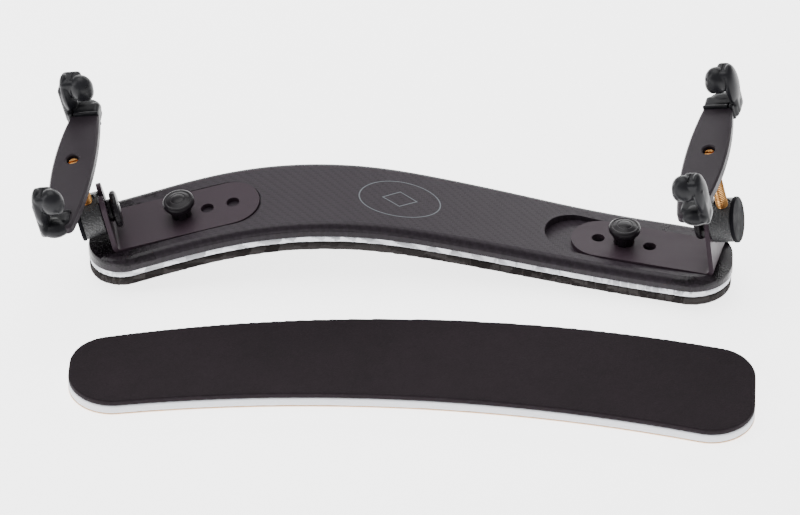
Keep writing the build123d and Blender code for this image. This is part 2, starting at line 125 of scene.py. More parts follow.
def fork_place(side, end):
    """One tip of the fork: +x away from the violin, +y to the tip, +z along the post."""
    up = axis_of(f"{side}_height")
    origin = Vector(joints[f"{side}_fork_turn"]["pos_m"])
    other = "front" if end == "back" else "back"
    feet = {name: middle_of(f"{side}_{name}_foot") for name in ("back", "front")}
    to_tip = feet[end] - feet[other]
    to_tip = (to_tip - up * to_tip.dot(up)).normalized()
    out = to_tip.cross(up)
    way = -1 if side == "left" else 1
    mirrored = out.x * way < 0
    reach = (feet[end] - origin).dot(to_tip)
    place = placing(origin + to_tip * reach, out, up)
    if mirrored:
        place = place @ Matrix.Scale(-1, 4, (1, 0, 0))
    return place


# ---- mesh tools ----

def only(piece):
    """Select one object, and make it the active one."""
    bpy.ops.object.select_all(action="DESELECT")
    piece.select_set(True)
    bpy.context.view_layer.objects.active = piece
    return piece


def apply_modifiers(piece):
    only(piece)
    for modifier in list(piece.modifiers):
        bpy.ops.object.modifier_apply(modifier=modifier.name)


def edit(piece):
    only(piece)
    bpy.ops.object.mode_set(mode="EDIT")


def leave_edit():
    bpy.ops.object.mode_set(mode="OBJECT")


def join(first, *others):
    bpy.ops.object.select_all(action="DESELECT")
    for piece in others:
        piece.select_set(True)
    first.select_set(True)
    bpy.context.view_layer.objects.active = first
    bpy.ops.object.join()
    return first


def settle():
    """Apply the active object's place to its mesh."""
    bpy.ops.object.transform_apply(location=True, rotation=True, scale=True)


def pair_of(model):
    """A finished model and its copy, which has its own mesh, as one for each side."""
    only(model)
    bpy.ops.object.duplicate(linked=False)
    return tuple(zip(SIDES, (model, bpy.context.object)))


def rounded_box(low, high, radius, segments=4):
    """Box between two corners, in millimetres, with rounded edges."""
    low, high = Vector(low), Vector(high)
    bpy.ops.mesh.primitive_cube_add(size=1, location=(low + high) / 2)
    piece = only(bpy.context.object)
    piece.scale = high - low
    settle()
    edit(piece)
    bpy.ops.mesh.select_all(action="SELECT")
    bpy.ops.mesh.bevel(offset=radius, segments=segments, profile=0.5)
    leave_edit()
    return piece


def ball(center, radii):
    bpy.ops.mesh.primitive_uv_sphere_add(segments=48, ring_count=32, radius=1, location=center)
    piece = only(bpy.context.object)
    piece.scale = radii
    settle()
    return piece


def turned(profile, sides=64, bevel=0.0):
    """Solid of revolution about z: a disc extruded and resized along (radius, z) pairs."""
    radius, height = profile[0]
    bpy.ops.mesh.primitive_circle_add(
        vertices=sides, radius=radius, fill_type="NGON", location=(0, 0, height))
    piece = only(bpy.context.object)
    settle()
    edit(piece)
    bpy.ops.mesh.select_all(action="SELECT")
    for new_radius, new_height in profile[1:]:
        move = {"value": (0, 0, new_height - height)}
        bpy.ops.mesh.extrude_region_move(TRANSFORM_OT_translate=move)
        factor = new_radius / radius
        bpy.ops.transform.resize(value=(factor, factor, 1), center_override=(0, 0, new_height))
        radius, height = new_radius, new_height
    bpy.ops.mesh.select_all(action="SELECT")
    bpy.ops.mesh.remove_doubles(threshold=1e-5)
    bpy.ops.mesh.normals_make_consistent(inside=False)
    leave_edit()
    if bevel:
        rounding = piece.modifiers.new("Edges", "BEVEL")
        rounding.width = bevel
        rounding.segments = 3
        rounding.limit_method = "ANGLE"
        rounding.angle_limit = math.radians(35)
        apply_modifiers(piece)
    return piece


def pin_ring(count, ring, radius, low, high):
    """Upright pins set in a ring, as one cutter for notches and flutes."""
    pins = []
    for i in range(count):
        angle = i * math.tau / count
        at = (ring * math.cos(angle), ring * math.sin(angle), (low + high) / 2)
        bpy.ops.mesh.primitive_cylinder_add(
            vertices=24, radius=radius, depth=high - low, location=at)
        pins.append(only(bpy.context.object))
        settle()
    return join(*pins)


def thread(major, minor, pitch, low, high, steps=28):
    """Helical ridge between two heights, as one closed strip sunk into its core."""
    half = pitch * 0.42
    foot = minor - 0.12
    bpy.ops.mesh.primitive_circle_add(vertices=3, radius=1, fill_type="NOTHING")
    ridge = only(bpy.context.object)
    corners = (
        Vector((foot, 0, low)),
        Vector((major, 0, low + half)),
        Vector((foot, 0, low + 2 * half)),
    )
    for vertex, corner in zip(ridge.data.vertices, corners):
        vertex.co = corner
    turns = int((high - low - 2 * half) / pitch)
    helix = ridge.modifiers.new("Helix", "SCREW")
    helix.axis = "Z"
    helix.angle = math.tau
    helix.screw_offset = pitch
    helix.iterations = turns
    helix.steps = helix.render_steps = steps
    helix.use_merge_vertices = False
    apply_modifiers(ridge)
    edit(ridge)
    bpy.ops.mesh.select_all(action="DESELECT")
    bpy.ops.mesh.select_mode(type="EDGE")
    bpy.ops.mesh.select_non_manifold()
    bpy.ops.mesh.edge_face_add()
    bpy.ops.mesh.select_all(action="SELECT")
    bpy.ops.mesh.fill_holes(sides=3)
    bpy.ops.mesh.normals_make_consistent(inside=False)
    leave_edit()
    return ridge


def subtract(piece, cutter):
    """Cut one closed solid out of another."""
    cut = piece.modifiers.new("Cut", "BOOLEAN")
    cut.operation = "DIFFERENCE"
    cut.solver = "EXACT"
    cut.object = cutter
    apply_modifiers(piece)
    bpy.data.objects.remove(cutter)
    only(piece)


def remesh(piece, size, smooth=0, factor=0.5):
    """Fuse closed solids into one even skin, and soften it."""
    only(piece)
    piece.data.remesh_voxel_size = size
    piece.data.use_remesh_fix_poles = False
    bpy.ops.object.voxel_remesh()
    if smooth:
        softening = piece.modifiers.new("Soften", "SMOOTH")
        softening.factor = factor
        softening.iterations = smooth
        apply_modifiers(piece)


def finish_piece(piece, name, body, material, replaced=(), place=None, angle=35):
    """Name a piece, put it in place and tie it to its body."""
    if place is not None:
        only(piece)
        piece.matrix_world = place
        settle()
        if place.determinant() < 0:
            edit(piece)
            bpy.ops.mesh.select_all(action="SELECT")
            bpy.ops.mesh.normals_make_consistent(inside=False)
            leave_edit()
    piece.name = name
    piece.data.name = name
    only(piece)
    bpy.ops.object.shade_smooth_by_angle(angle=math.radians(angle))
    piece.data.materials.clear()
    piece.data.materials.append(material)
    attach(piece, body)
    if replaced:
        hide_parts(*replaced)
    return piece


def copy_of(node):
    """A merged copy of a CAD node's mesh, in millimetres."""
    source = nodes[node]
    copy = source.copy()
    copy.data = source.data.copy()
    copy.parent = None
    for key in list(copy.keys()):
        del copy[key]
    bpy.context.scene.collection.objects.link(copy)
    only(copy)
    copy.scale = (1 / MM,) * 3
    settle()
    edit(copy)
    bpy.ops.mesh.select_all(action="SELECT")
    bpy.ops.mesh.remove_doubles(threshold=1e-3)
    leave_edit()
    return copy


# ---- materials ----

class Finish:
    """One material and short ways to add its nodes."""

    def __init__(self, name, color, roughness, metallic=0.0, **sockets):
        self.material = bpy.data.materials.new(name)
        self.material.use_nodes = True
        self.tree = self.material.node_tree
        self.shader = self.tree.nodes["Principled BSDF"]
        self.shader.inputs["Base Color"].default_value = (*color, 1)
        self.shader.inputs["Roughness"].default_value = roughness
        self.shader.inputs["Metallic"].default_value = metallic
        for socket, value in sockets.items():
            self.shader.inputs[socket.replace("_", " ")].default_value = value
        self.place = self.node("ShaderNodeTexCoord").outputs["Object"]

    def node(self, kind, inputs=None, **settings):
        made = self.tree.nodes.new(kind)
        for name, value in settings.items():
            setattr(made, name, value)
        for name, value in (inputs or {}).items():
            self.feed(made.inputs[name], value)
        return made

    def feed(self, socket, value):
        if isinstance(value, bpy.types.NodeSocket):
            self.tree.links.new(value, socket)
        else:
            socket.default_value = value

    def math(self, operation, first, second=0.0, clamp=False):
        made = self.node("ShaderNodeMath", {0: first, 1: second}, operation=operation)
        made.use_clamp = clamp
        return made.outputs[0]

    def scaled(self, per_metre, turn=0.0, stretch=(1, 1, 1)):
        """Object coordinates, turned about z and scaled to a pattern's own size."""
        scale = tuple(per_metre * s for s in stretch)
        inputs = {"Vector": self.place, "Scale": scale, "Rotation": (0, 0, turn)}
        return self.node("ShaderNodeMapping", inputs).outputs[0]

    def noise(self, grain_mm, detail=3.0, rough=0.55, stretch=(1, 1, 1)):
        inputs = {"Vector": self.scaled(1 / (grain_mm * MM), stretch=stretch),
                  "Scale": 1.0, "Detail": detail, "Roughness": rough}
        return self.node("ShaderNodeTexNoise", inputs).outputs["Fac"]

    def cells(self, grain_mm, feature="F1"):
        inputs = {"Vector": self.scaled(1 / (grain_mm * MM)), "Scale": 1.0}
        return self.node("ShaderNodeTexVoronoi", inputs, feature=feature).outputs["Distance"]

    def band(self, value, low, high, to_low=0.0, to_high=1.0, smooth=True):
        inputs = {"Value": value, "From Min": low, "From Max": high,
                  "To Min": to_low, "To Max": to_high}
        made = self.node("ShaderNodeMapRange", inputs)
        made.interpolation_type = "SMOOTHSTEP" if smooth else "LINEAR"
        return made.outputs["Result"]

    def blend(self, share, first, second):
        """Mix two colours by a share."""
        made = self.node("ShaderNodeMix", {"Factor": share}, data_type="RGBA")
        ends = [s for s in made.inputs if s.type == "RGBA"]
        for socket, value in zip(ends, (first, second)):
            self.feed(socket, value if isinstance(value, bpy.types.NodeSocket) else (*value, 1))
        return [s for s in made.outputs if s.type == "RGBA"][0]

    def color(self, value):
        self.feed(self.shader.inputs["Base Color"], value)

    def rough(self, value):
        self.feed(self.shader.inputs["Roughness"], value)

    def bump(self, height, depth_mm, strength=1.0, below=None):
        """Add a bump of a real depth, on top of an earlier one."""
        inputs = {"Height": height, "Distance": depth_mm * MM, "Strength": strength}
        if below is not None:
            inputs["Normal"] = below
        made = self.node("ShaderNodeBump", inputs)
        self.feed(self.shader.inputs["Normal"], made.outputs["Normal"])
        return made.outputs["Normal"]


def carbon_shell(colors, sizes):
    """Twill laminate: glossy, speckled ends, a faint glossy rim with painted shade and a plain
    printed oval.
    """
    low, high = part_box("shell")
    middle = (low + high) / 2
    half, corner = (high.x - low.x) / 2, SHELL_CORNER
    width, radius = SHELL_HALF_WIDTH, SHELL_RADIUS
    finish = Finish("carbon_twill", colors.carbon, 0.4, Specular_IOR_Level=0.15)
    inputs = {"Vector": finish.place}
    at = finish.node("ShaderNodeSeparateXYZ", inputs).outputs
    x = finish.math("SUBTRACT", at["X"], middle.x)
    # distance from the outline, below zero inside it; the arc's crest lies at the far edge
    squares = finish.math("SUBTRACT", radius ** 2, finish.math("MULTIPLY", x, x))
    arc = finish.math("SUBTRACT", finish.math("SQRT", squares), radius)
    y = finish.math("SUBTRACT", finish.math("SUBTRACT", at["Y"], high.y - width), arc)
    over_x = finish.math("SUBTRACT", finish.math("ABSOLUTE", x), half - corner)
    over_y = finish.math("SUBTRACT", finish.math("ABSOLUTE", y), width - corner)
    out_x = finish.math("MAXIMUM", over_x, 0)
    out_y = finish.math("MAXIMUM", over_y, 0)
    reach = finish.math("SQRT", finish.math("ADD", finish.math("MULTIPLY", out_x, out_x),
                                            finish.math("MULTIPLY", out_y, out_y)))
    inside = finish.math("MINIMUM", finish.math("MAXIMUM", over_x, over_y), 0)
    edge = finish.math("SUBTRACT", finish.math("ADD", reach, inside), corner)
    # resin pools at the ends; along the rim a band is glossier and painted a little darker, as
    # painted shade where the edge rounds over
    rim_shade_and_gloss = finish.band(edge, -2.2 * MM, -0.8 * MM)
    ends = finish.band(finish.math("ABSOLUTE", x), 66 * MM, 92 * MM)
    wide = finish.math("MULTIPLY", ends, finish.band(finish.noise(9, 2), 0.3, 0.6))
    resin_gloss_and_rim_shade = finish.math("MAXIMUM", finish.math("MULTIPLY", rim_shade_and_gloss, 0.45), wide)
    # 2 by 2 twill: which tow lies on top, and how round it is
    inputs = {"Vector": finish.scaled(1 / sizes.tow_width)}
    weave = finish.node("ShaderNodeSeparateXYZ", inputs).outputs
    u, v = weave["X"], weave["Y"]
    steps = finish.math("ADD", finish.math("FLOOR", u), finish.math("FLOOR", v))
    over = finish.math("LESS_THAN", finish.math("FLOORED_MODULO", steps, 4), 2)
    round_u = finish.math("PINGPONG", u, 0.5)
    round_v = finish.math("PINGPONG", v, 0.5)
    top_u = finish.math("MULTIPLY", over, round_u)
    top_v = finish.math("MULTIPLY", finish.math("SUBTRACT", 1, over), round_v)
    tows = finish.math("ADD", top_u, top_v)
    fibres = finish.noise(0.25, 2, stretch=(1, 0.2, 1))
    tone = finish.math("ADD", finish.math("MULTIPLY", over, 0.5),
                       finish.math("MULTIPLY", fibres, 0.5))
    pale, mid, dark = (tuple(c * share for c in colors.carbon) for share in (1.6, 0.7, 0.2))
    laminate = finish.blend(tone, colors.carbon, pale)
    speckle = finish.band(finish.noise(0.9, 3), 0.42, 0.62)
    # this share darkens the colour: real resin at the ends, painted shade along the rim
    coat = finish.blend(resin_gloss_and_rim_shade, laminate, finish.blend(speckle, dark, mid))
    # a plain thin oval with a small lozenge, printed on the crest
    oval_x = finish.math("SUBTRACT", x, sizes.oval_shift)
    ring_x = finish.math("DIVIDE", oval_x, sizes.oval_length / 2)
    ring_y = finish.math("DIVIDE", y, sizes.oval_width / 2)
    ring = finish.math("SQRT", finish.math("ADD", finish.math("MULTIPLY", ring_x, ring_x),
                                           finish.math("MULTIPLY", ring_y, ring_y)))
    off_ring = finish.math("ABSOLUTE", finish.math("SUBTRACT", ring, 1))
    ink = finish.band(off_ring, 0.008, 0.022, 1, 0)
    lozenge = finish.math("ADD", finish.math("ABSOLUTE", ring_x), finish.math("ABSOLUTE", ring_y))
    outline = finish.math("ABSOLUTE", finish.math("SUBTRACT", lozenge, 0.42))
    ink = finish.math("MAXIMUM", ink, finish.band(outline, 0.012, 0.028, 1, 0))
    finish.color(finish.blend(finish.math("MULTIPLY", ink, 0.85), coat, colors.print_ink))
    finish.rough(finish.band(resin_gloss_and_rim_shade, 0, 1, 0.42, 0.16, smooth=False))
    woven = finish.bump(finish.math("MULTIPLY", tows, finish.math("SUBTRACT", 1, resin_gloss_and_rim_shade)), 0.05)
    crinkle = finish.math("MULTIPLY", finish.math("MULTIPLY", resin_gloss_and_rim_shade, ends), finish.noise(0.7, 2))
    finish.bump(crinkle, 0.12, below=woven)
    return finish.material


def foam(name, color, cell_mm, speck, sheen=0.0):
    """Closed-cell foam: fine pores and a slight mottle."""
    finish = Finish(name, color, 0.9, Sheen_Weight=sheen, Specular_IOR_Level=0.25)
    pores = finish.cells(cell_mm)
    mottle = finish.noise(3, 2)
    light = tuple(min(1, c * (1 + speck)) for c in color)
    dark = tuple(c * (1 - speck) for c in color)
    share = finish.math("ADD", finish.math("MULTIPLY", pores, 0.7),
                        finish.math("MULTIPLY", mottle, 0.3))
    finish.color(finish.blend(share, dark, light))
    skin = finish.bump(pores, 0.1, 0.7)
    finish.bump(finish.noise(1.6, 4, 0.65), 0.12, 0.6, below=skin)
    return finish.material


def pad_cloth(color):
    """Short-napped black cloth facing: a fine knit under a soft mottled nap."""
    finish = Finish("pad_facing", color, 0.95, Sheen_Weight=0.03, Sheen_Roughness=0.6,
                    Specular_IOR_Level=0.15)
    nap = finish.noise(0.35, 4, 0.7)
    mottle = finish.noise(14, 4, 0.6)
    share = finish.math("ADD", finish.math("MULTIPLY", nap, 0.75),
                        finish.math("MULTIPLY", mottle, 0.25))
    pale = tuple(c * 1.4 for c in color)
    dark = tuple(c * 0.7 for c in color)
    finish.color(finish.blend(finish.band(share, 0.3, 0.7), dark, pale))
    knit = finish.cells(0.5)
    woven = finish.bump(knit, 0.06, 0.8)
    finish.bump(nap, 0.08, 0.7, below=woven)
    return finish.material


def paper(color):
    """Pale tan release paper with short fibres."""
    finish = Finish("liner_paper", color, 0.8)
    fibres = finish.noise(1.2, 5, 0.7, stretch=(0.3, 1, 1))
    finish.color(finish.blend(fibres, tuple(c * 0.8 for c in color), color))
    finish.bump(fibres, 0.03, 0.5)
    return finish.material


def satin_metal(name, color, roughness, metallic, grain_mm=0.5, streak=0.25, wear=1.35):
    """Painted or anodised metal: fine grain, faint streaks and slight tone changes."""
    finish = Finish(name, color, roughness, metallic, Specular_IOR_Level=0.15)
    grain = finish.noise(grain_mm, 3)
    streaks = finish.noise(6, 4, 0.6, stretch=(streak, 1, 1))
    share = finish.math("ADD", finish.math("MULTIPLY", grain, 0.35),
                        finish.math("MULTIPLY", streaks, 0.65))
    finish.color(finish.blend(share, tuple(c * 0.85 for c in color),
                              tuple(min(1, c * wear) for c in color)))
    finish.rough(finish.band(streaks, 0.3, 0.7, roughness * 0.88, min(1, roughness * 1.15)))
    finish.bump(grain, 0.02, 0.6)
    return finish.material


def crinkle(name, color):
    """Black wrinkle paint: small raised islands painted lighter as painted highlights, with
    painted shade in the low wrinkles between them.
    """
    finish = Finish(name, color, 0.3, Specular_IOR_Level=0.5)
    islands = finish.cells(0.62, "SMOOTH_F1")
    wrinkles = finish.noise(0.5, 2.5, 0.6)
    height = finish.math("ADD", finish.math("MULTIPLY", islands, 0.6), wrinkles)
    # painted highlights on the raised islands and painted shade in the low wrinkles, from 0.6 to
    # 1.5 times the paint's colour
    finish.color(finish.blend(finish.band(height, 0.5, 1.1), tuple(c * 0.6 for c in color),
                              tuple(c * 1.5 for c in color)))
    finish.rough(finish.band(height, 0.5, 1.1, 0.45, 0.24))
    finish.bump(height, 0.26)
    return finish.material


def moulded(name, color, roughness, grain_mm=0.4, depth=0.03, mottle=1.4, **sockets):
    """Moulded rubber or plastic: spark-eroded grain and a faint bloom."""
    finish = Finish(name, color, roughness, **sockets)
    grain = finish.noise(grain_mm, 3, 0.6)
    bloom = finish.noise(5, 4, 0.65)
    finish.color(finish.blend(finish.band(bloom, 0.3, 0.75), color,
                              tuple(c * mottle for c in color)))
    finish.rough(finish.band(bloom, 0.3, 0.7, roughness * 0.85, min(1, roughness * 1.2)))
    finish.bump(grain, depth, 0.7)
    return finish.material


def brass_thread(color):
    """Rolled brass thread: bright crests, darker roots and light tarnish."""
    finish = Finish("brass_thread", color, 0.28, 1.0)
    tarnish = finish.noise(2.2, 4, 0.65)
    finish.color(finish.blend(finish.band(tarnish, 0.3, 0.65), color,
                              tuple(c * f for c, f in zip(color, (0.55, 0.45, 0.35)))))
    finish.rough(finish.band(tarnish, 0.3, 0.7, 0.2, 0.42))
    finish.bump(finish.noise(0.2, 2), 0.01, 0.5)
    return finish.material


materials = {}


def material(name):
    """The finish of that name, made at its first use."""
    if name in materials:
        return materials[name]
    colors, sizes = bpy.context.scene.rest_colors, bpy.context.scene.rest_sizes
    makers = {
        "carbon_shell": lambda: carbon_shell(colors, sizes),
        "grey_foam": lambda: foam("grey_foam", colors.grey_foam, 0.45, 0.06),
        "black_foam": lambda: foam("black_foam", colors.black_foam, 0.5, 0.35),
        "pad_facing": lambda: pad_cloth(colors.pad_facing),
        "liner_paper": lambda: paper(colors.liner),
        "bracket_metal": lambda: satin_metal("bracket_metal", colors.bracket, 0.45, 0.0,
                                             wear=1.15),
        "steel": lambda: satin_metal("steel", (0.42, 0.42, 0.43), 0.3, 1.0, 0.3),
        "knob_plastic": lambda: moulded("knob_plastic", colors.knob, 0.32,
                                        Specular_IOR_Level=0.15),
        "clamp_plastic": lambda: moulded("clamp_plastic", colors.knob, 0.3, 0.5, 0.04,
                                         Specular_IOR_Level=0.15),
        "crinkle_black": lambda: crinkle("crinkle_black", colors.crinkle),
        "cap_black": lambda: moulded("cap_black", colors.crinkle, 0.6, Specular_IOR_Level=0.03),
        "brass": lambda: brass_thread(colors.brass),
        "fork_black": lambda: satin_metal("fork_black", colors.fork, 0.45, 0.0, 0.35, 1.0, 1.25),
        "foot_rubber": lambda: moulded("foot_rubber", colors.foot, 0.34, 0.45, 0.035,
                                       Specular_IOR_Level=0.16),
    }
    materials[name] = makers[name]()
    return materials[name]


def dress(node, name):
    """Give a CAD node its finish."""
    part = nodes[node]
    if not part.material_slots:
        part.data.materials.append(material(name))
    for slot in part.material_slots:
        slot.material = material(name)


# ---- sizes and colours a user would change ----

def length(name, description, default):
    return bpy.props.FloatProperty(
        name=name, description=description, default=default, min=0, subtype="DISTANCE",
        unit="LENGTH", precision=5)


def tint(name, description, default):
    return bpy.props.FloatVectorProperty(
        name=name, description=description, default=default, size=3, min=0, max=1,
        subtype="COLOR")


class RestSizes(bpy.types.PropertyGroup):
    tow_width: length("Tow width", "Width of one tow of the carbon twill", 0.0008)
    oval_length: length("Oval length", "Length of the printed oval", 0.026)
    oval_width: length("Oval width", "Width of the printed oval", 0.0174)
    oval_shift: bpy.props.FloatProperty(
        name="Oval shift", description="Place of the oval along the body", default=-0.004,
        unit="LENGTH", precision=5)
    thread_pitch: length("Thread pitch", "Pitch of the posts and studs", 0.0007)
    foam_grain: length("Foam grain", "Height of the foam's uneven skin", 0.00008)


class RestColors(bpy.types.PropertyGroup):
    carbon: tint("Carbon", "Twill laminate", (0.0158, 0.0118, 0.0158))
    print_ink: tint("Print", "Printed oval", (0.13, 0.145, 0.16))
    bracket: tint("Brackets", "Satin plates", (0.028, 0.018, 0.0248))
    knob: tint("Knobs", "Moulded knobs and nuts", (0.0048, 0.0037, 0.005))
    crinkle: tint("Barrels", "Wrinkle paint", (0.0042, 0.0042, 0.0054))
    brass: tint("Brass", "Threaded posts", (0.6, 0.33, 0.12))
    fork: tint("Forks", "Satin fork plates", (0.0178, 0.0138, 0.0175))
    foot: tint("Feet", "Moulded rubber", (0.0064, 0.0064, 0.0078))
    grey_foam: tint("Grey foam", "Pale foam layers", (0.72, 0.73, 0.77))
    black_foam: tint("Black foam", "Dark foam layer", (0.012, 0.0092, 0.009))
    pad_facing: tint("Pad facing", "Cloth facing of the spare pad", (0.0098, 0.0062, 0.0084))
    liner: tint("Liner", "Release paper", (0.82, 0.56, 0.36))


# ---- pieces ----

def soft_layer(node, name, finish, voxel, edge_steps):
    """Foam sheet over its CAD solid: softened edges and an uneven skin."""
    layer = copy_of(node)
    remesh(layer, voxel, edge_steps)
    pores = bpy.data.textures.new(name + "_skin", "CLOUDS")
    pores.noise_scale = 2.4
    pores.noise_depth = 3
    skin = layer.modifiers.new("Skin", "DISPLACE")
    skin.texture = pores
    skin.texture_coords = "LOCAL"
    skin.mid_level = 0.62
    skin.strength = bpy.context.scene.rest_sizes.foam_grain / MM
    apply_modifiers(layer)
    body = "spare_pad" if node.startswith("spare") else "rest_body"
    finish_piece(layer, name, body, material(finish), [node],
                 Matrix.Scale(MM, 4), angle=60)


class REST_OT_body(bpy.types.Operator):
    """Finish the carbon shell and lay the two foam layers under it"""
    bl_idname = "rest.body"
    bl_label = "Body and foam"

    def execute(self, context):
        dress("shell", "carbon_shell")
        soft_layer("grey_foam", "grey_foam_layer", "grey_foam", 0.5, 3)
        soft_layer("black_foam", "black_foam_layer", "black_foam", 0.6, 4)
        return {"FINISHED"}


class REST_OT_spare_pad(bpy.types.Operator):
    """Lay the loose spare pad: cloth facing, pale foam and release paper"""
    bl_idname = "rest.spare_pad"
    bl_label = "Spare pad"

    def execute(self, context):
        dress("spare_pad_liner", "liner_paper")
        soft_layer("spare_pad_foam", "pad_foam_sheet", "grey_foam", 0.6, 3)
        soft_layer("spare_pad_cover", "pad_facing_sheet", "pad_facing", 0.5, 5)
        return {"FINISHED"}


class REST_OT_brackets(bpy.types.Operator):
    """Finish the slotted brackets and their sliding nuts"""
    bl_idname = "rest.brackets"
    bl_label = "Brackets"

    def execute(self, context):
        for side in SIDES:
            dress(f"{side}_bracket", "bracket_metal")
            dress(f"{side}_slide_nut", "steel")
        return {"FINISHED"}


def knob_model():
    """Mushroom knob: notched hub, wide collar, rounded head with a raised rim and ring."""
    head = turned((
        (2.3, 1.56), (3.3, 1.56), (3.3, 4.2), (3.45, 4.2), (4.0, 4.35), (4.0, 5.7),
        (4.6, 5.72), (5.02, 6.0), (5.1, 6.5), (5.1, 7.2), (4.95, 7.62), (4.6, 7.9),
        (4.2, 7.98), (3.95, 7.86), (3.7, 7.9), (3.1, 8.2), (2.5, 8.36), (2.32, 8.28),
        (2.16, 8.4), (1.2, 8.56), (0.3, 8.62),
    ), sides=96, bevel=0.06)
    subtract(head, pin_ring(6, 3.35, 0.55, 1.4, 4.0))
    return head


def stud_model(profile, low, high, pitch):
    """Steel stud: a core with chamfered ends, and the thread cut on it."""
    return join(turned(profile, 40), thread(THREAD_CREST, THREAD_ROOT, pitch, low, high))


class REST_OT_knobs(bpy.types.Operator):
    """Make the moulded thumb knobs and their threaded studs"""
    bl_idname = "rest.knobs"
    bl_label = "Thumb screws"

    def execute(self, context):
        pitch = context.scene.rest_sizes.thread_pitch / MM
        for side, knob in pair_of(knob_model()):
            finish_piece(knob, f"{side}_knob", f"{side}_thumb_knob",
                         material("knob_plastic"), [f"{side}_thumb_knob"], knob_place(side))
        core = ((1.5, -2.35), (THREAD_ROOT, -2.15), (THREAD_ROOT, 4.9), (1.5, 5.1))
        for side, stud in pair_of(stud_model(core, -2.2, 4.95, pitch)):
            finish_piece(stud, f"{side}_knob_screw", f"{side}_thumb_stud",
                         material("steel"), [f"{side}_thumb_stud"], knob_place(side))
        return {"FINISHED"}


def wheel_model():
    """Thumb wheel of the clamp: rounded rim with fine flutes, bored for its stud."""
    wheel = turned((
        (5.1, -5.3), (5.75, -5.0), (6.0, -4.5), (6.0, -3.9), (5.75, -3.4), (5.1, -3.1),
    ), sides=96, bevel=0.12)
    subtract(wheel, pin_ring(20, 6.15, 0.36, -5.6, -2.8))
    subtract(wheel, turned(((2.05, -6.0), (2.05, -2.5)), sides=48))
    return wheel


class REST_OT_clamps(bpy.types.Operator):
    """Finish the barrels, caps, washers and nuts, and thread their studs"""
    bl_idname = "rest.clamps"
    bl_label = "Clamps"

    def execute(self, context):
        pitch = context.scene.rest_sizes.thread_pitch / MM
        for side in SIDES:
            dress(f"{side}_barrel", "crinkle_black")
            dress(f"{side}_barrel_cap", "cap_black")
            dress(f"{side}_clamp_washer", "clamp_plastic")
        for side, wheel in pair_of(wheel_model()):
            finish_piece(wheel, f"{side}_clamp_wheel", f"{side}_clamp_nut",
                         material("clamp_plastic"), [f"{side}_clamp_nut"], clamp_place(side))
        core = ((1.45, -5.65), (THREAD_ROOT, -5.4), (THREAD_ROOT, 1.25))
        for side, stud in pair_of(stud_model(core, -5.5, 1.2, pitch)):
            finish_piece(stud, f"{side}_clamp_screw", f"{side}_barrel",
                         material("steel"), [f"{side}_clamp_stud"], clamp_place(side))
        return {"FINISHED"}


def post_model(pitch):
    """Brass post along z, its top at z = 0: threaded core with a driver slot."""
    core = turned(((1.35, -28.0), (1.66, -27.7), (1.66, -0.3), (1.4, 0.0)), 48)
    subtract(core, rounded_box((-2.2, -0.4, -0.9), (2.2, 0.4, 0.5), 0.05, 2))
    return join(core, thread(1.94, 1.66, pitch, -27.8, -1.0, 32))


class REST_OT_posts(bpy.types.Operator):
    """Make the threaded brass height posts with their driver slots"""
    bl_idname = "rest.posts"
    bl_label = "Height posts"

    def execute(self, context):
        pitch = context.scene.rest_sizes.thread_pitch / MM
        for side, post in pair_of(post_model(pitch)):
            finish_piece(post, f"{side}_brass_post", f"{side}_height_post",
                         material("brass"), [f"{side}_height_post"], post_place(side))
        return {"FINISHED"}


def foot_model(end, lean):
    """Rubber hook at a fork's tip: +x is away from the violin, +y points to the tip.

    The front hooks cover less of the fork's inner edge, and their noses hang to the tip.  The
    nose leans by so many millimetres away from the violin.
    """
    inner, droop, low = (-3.6, 0.9, 9.6) if end == "front" else (-5.4, -1.3, 9.2)
    strap = rounded_box((inner, -4.1, -4.5), (5.6, 1.2, 1.1), 1.3, 5)
    cap = ball(((6.1 + inner) / 2, 0.5, -1.6), ((6.1 - inner) / 2, 3.95, 3.0))
    lip = rounded_box((inner - 0.15, -4.5, -4.6), (4.6, -3.6, 1.2), 0.4, 3)
    wall = rounded_box((3.3, -3.4, -3.9), (6.05, 3.2, 10.4), 1.3, 5)
    heel = ball((3.9, 0.0, -1.2), (2.45, 4.1, 3.2))
    lobe = ball((4.15 + lean / 2, -0.2, 6.6), (2.25, 4.25, 7.6))
    nose = ball((lean - 0.35, droop, low), (3.9, 3.7, 4.7))
    chin = ball((lean - 1.9, droop * 1.4, low - 0.9), (2.4, 2.8, 3.5))
    bridge = rounded_box((lean - 0.5, -3.4, 7.3), (4.8, 3.4, 13.2), 1.4, 4)
    foot = join(strap, cap, lip, wall, heel, lobe, nose, chin, bridge)
    remesh(foot, 0.2, 6)
    slot = rounded_box((2.5, -6.0, -0.4), (3.15, -2.7, 2.6), 0.25, 3)
    slit = rounded_box((lean + 1.6, -2.2, 12.9), (lean + 2.15, 2.4, 16.0), 0.2, 2)
    dimple = ball((lean - 3.5, droop - 2.1, 11.4), (0.8, 0.6, 0.6))
    subtract(foot, join(slot, slit, dimple))
    return foot


class REST_OT_forks(bpy.types.Operator):
    """Finish the fork plates and mould the four rubber feet onto their tips"""
    bl_idname = "rest.forks"
    bl_label = "Forks and feet"

    def execute(self, context):
        backs = (("left", foot_model("back", -1.3)), ("right", foot_model("back", 0.7)))
        fronts = pair_of(foot_model("front", 0.0))
        for end, feet in (("back", backs), ("front", fronts)):
            for side, foot in feet:
                finish_piece(foot, f"{side}_{end}_rubber_foot", f"{side}_fork",
                             material("foot_rubber"), [f"{side}_{end}_foot"],
                             fork_place(side, end), angle=50)
        for side in SIDES:
            dress(f"{side}_fork", "fork_black")
        return {"FINISHED"}


# ---- studio ----

def softbox(name, location, target, size, power, tall=None):
    bpy.ops.object.light_add(type="AREA", location=location)
    lamp = bpy.context.object
    lamp.name = name
    lamp.data.shape = "RECTANGLE"
    lamp.data.size = size
    lamp.data.size_y = tall or size
    lamp.data.energy = power
    aim = Vector(target) - Vector(location)
    lamp.rotation_euler = aim.to_track_quat("-Z", "Y").to_euler()
    return lamp


